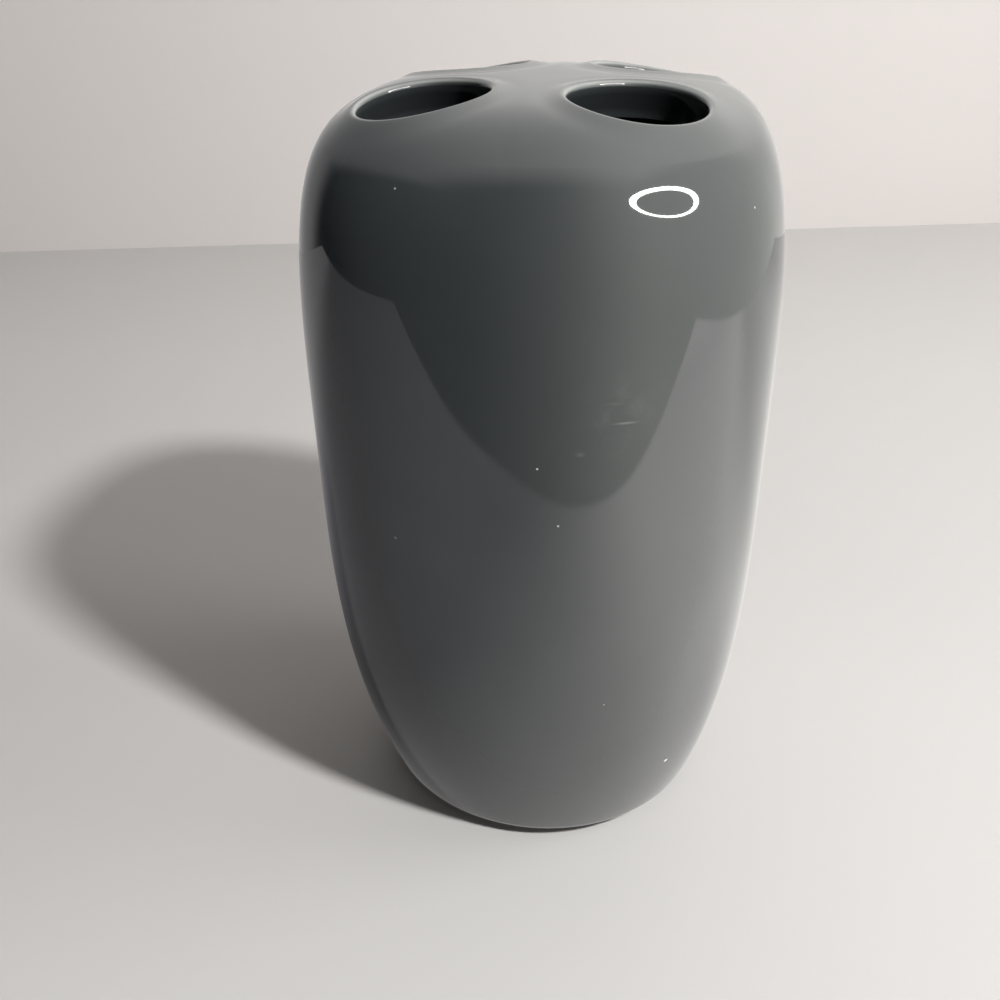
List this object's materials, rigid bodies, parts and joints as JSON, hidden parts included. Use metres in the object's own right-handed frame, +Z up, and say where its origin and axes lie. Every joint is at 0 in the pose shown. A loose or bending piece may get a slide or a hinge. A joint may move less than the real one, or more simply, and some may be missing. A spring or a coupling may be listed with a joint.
{
  "type": "toothbrush holder",
  "caption": "Free-standing glazed ceramic toothbrush holder: a tall tapering tumbler with soft square shoulders and round brush openings in its domed deck.",
  "frame": {"origin": "middle of the plane that the pads stand on, on the body's axis", "axes": "+Z up along the body's axis; +X and +Y point between openings, which lie on the diagonals; -Y is the front"},
  "size_m": [0.068, 0.068, 0.115],
  "materials": {
    "bare_clay": "fired, unglazed off-white stoneware, fine matt tooth",
    "outer_glaze": "dark cool-grey gloss glaze, glass smooth, a few pinholes",
    "liner_glaze": "dark cool-grey gloss glaze poured round the inside",
    "pad": "soft matt black elastomer bumper"
  },
  "bodies": {
    "root": {"clay_body": "bare_clay", "outer_glaze": "outer_glaze", "liner_glaze": "liner_glaze", "pad_front": "pad", "pad_right": "pad", "pad_back": "pad", "pad_left": "pad"}
  },
  "joints": []
}
